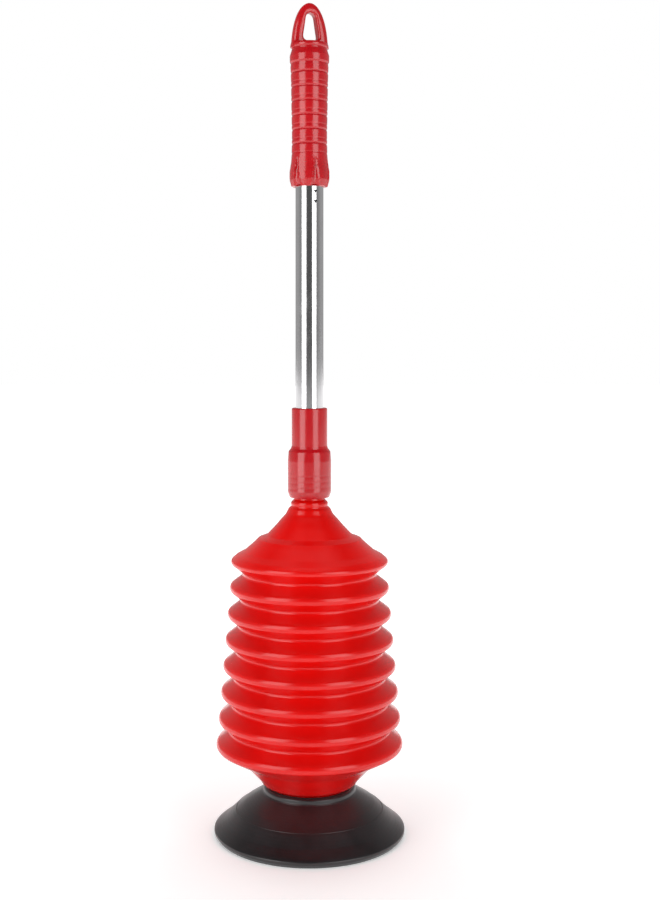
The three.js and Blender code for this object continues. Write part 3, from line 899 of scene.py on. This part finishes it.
def studio_floor():
    """A plain pale floor, which runs out to the horizon and is lit up to white behind the object."""
    n = Nodes("studio_floor")
    tint = n.ramp(n.noise(3, detail=2), (0.3, (0.84, 0.84, 0.84)), (0.7, (0.86, 0.86, 0.86)))
    split = n.add("ShaderNodeSeparateXYZ")
    n.link(n.place, split.inputs["Vector"])
    square = [n.math("MULTIPLY", split.outputs[axis], split.outputs[axis]) for axis in ("X", "Y")]
    away = n.math("POWER", n.math("ADD", *square), 0.5)
    towards = n.math("DIVIDE", split.outputs["Y"], away)
    extra = n.remap(towards, GREY_FROM, WHITE_FROM, 0.0, WHITE_SIDE - FLOOR_GLOW)
    share = n.remap(away, 0.1, 0.8, 0.0, 1.0)
    glow = n.math("ADD", n.math("MULTIPLY", extra, share), FLOOR_GLOW)
    n.set(Base_Color=tint, Roughness=0.8, Emission_Color=(1, 1, 1, 1), Emission_Strength=glow)
    half = FLOOR_HALF
    corners = [(-half, -half, 0), (half, -half, 0), (half, half, 0), (-half, half, 0)]
    floor = make_object("studio_floor", corners, [(0, 1, 2, 3)])
    floor.data.materials.append(n.material)


LIT_HEIGHT = 0.32  # the height on the plunger that the lights face


def softbox(name, azimuth, distance, height, width, tall, power):
    """A soft light that faces the plunger. Azimuth 0 is the front, and 90 is the +X side."""
    data = bpy.data.lights.new(name, "AREA")
    data.shape = "RECTANGLE"
    data.size = width
    data.size_y = tall
    data.energy = power
    light = bpy.data.objects.new(name, data)
    a = math.radians(azimuth)
    light.location = (distance * math.sin(a), -distance * math.cos(a), height)
    target = Vector((0, 0, LIT_HEIGHT))
    light.rotation_euler = (target - light.location).to_track_quat("-Z", "Y").to_euler()
    light.visible_camera = False
    bpy.context.scene.collection.objects.link(light)
    return light


def studio_world():
    """White behind the object. What it reflects is a grey room, dark in front and overhead."""
    world = bpy.data.worlds.new("studio")
    world.use_nodes = True
    tree = world.node_tree
    room = tree.nodes["Background"]
    out = tree.nodes["World Output"]
    white = tree.nodes.new("ShaderNodeBackground")
    white.inputs["Color"].default_value = (1, 1, 1, 1)
    path = tree.nodes.new("ShaderNodeLightPath")
    mix = tree.nodes.new("ShaderNodeMixShader")
    direction = tree.nodes.new("ShaderNodeTexCoord")
    split = tree.nodes.new("ShaderNodeSeparateXYZ")
    tree.links.new(direction.outputs["Generated"], split.inputs["Vector"])
    seen = tree.nodes.new("ShaderNodeMapRange")
    seen.inputs["From Min"].default_value, seen.inputs["From Max"].default_value = GREY_FROM, WHITE_FROM
    seen.inputs["To Min"].default_value, seen.inputs["To Max"].default_value = GREY_SIDE, WHITE_SIDE
    tree.links.new(split.outputs["Y"], seen.inputs["Value"])
    tree.links.new(seen.outputs["Result"], white.inputs["Strength"])
    shares = []
    for axis, start, end, low, high in (("Y", -0.9, 0.3, 0.09, 0.38), ("Z", 0.25, 0.8, 1.0, 0.12)):
        ramp = tree.nodes.new("ShaderNodeMapRange")
        for key, value in zip(("From Min", "From Max", "To Min", "To Max"), (start, end, low, high)):
            ramp.inputs[key].default_value = value
        tree.links.new(split.outputs[axis], ramp.inputs["Value"])
        shares.append(ramp.outputs["Result"])
    product = tree.nodes.new("ShaderNodeMath")
    product.operation = "MULTIPLY"
    for share, socket in zip(shares, product.inputs):
        tree.links.new(share, socket)
    tree.links.new(product.outputs["Value"], room.inputs["Strength"])
    room.inputs["Color"].default_value = (1, 1, 1, 1)
    tree.links.new(path.outputs["Is Camera Ray"], mix.inputs["Fac"])
    tree.links.new(room.outputs["Background"], mix.inputs[1])
    tree.links.new(white.outputs["Background"], mix.inputs[2])
    tree.links.new(mix.outputs["Shader"], out.inputs["Surface"])
    bpy.context.scene.world = world


def front_camera():
    """The camera stands level in front, a little above the middle of the plunger."""
    data = bpy.data.cameras.new("front_camera")
    data.sensor_width = 36
    data.lens = 52
    data.shift_y = -0.128
    data.shift_x = 0.0228
    data.clip_start, data.clip_end = 0.05, 50
    camera = bpy.data.objects.new("front_camera", data)
    camera.location = (0, -1.025, 0.391)
    camera.rotation_euler = (math.pi / 2, 0, 0)
    bpy.context.scene.collection.objects.link(camera)
    bpy.context.scene.camera = camera


studio_floor()
studio_world()
softbox("left_softbox", -46, 1.5, 0.62, 1.0, 1.7, 15)
softbox("right_softbox", 40, 1.5, 0.62, 0.9, 1.7, 12.5)
overhead = softbox("top_softbox", 180, 0.5, 1.9, 1.6, 1.6, 25)
overhead.visible_glossy = False
front_camera()
bpy.context.scene.view_settings.view_transform = "Standard"
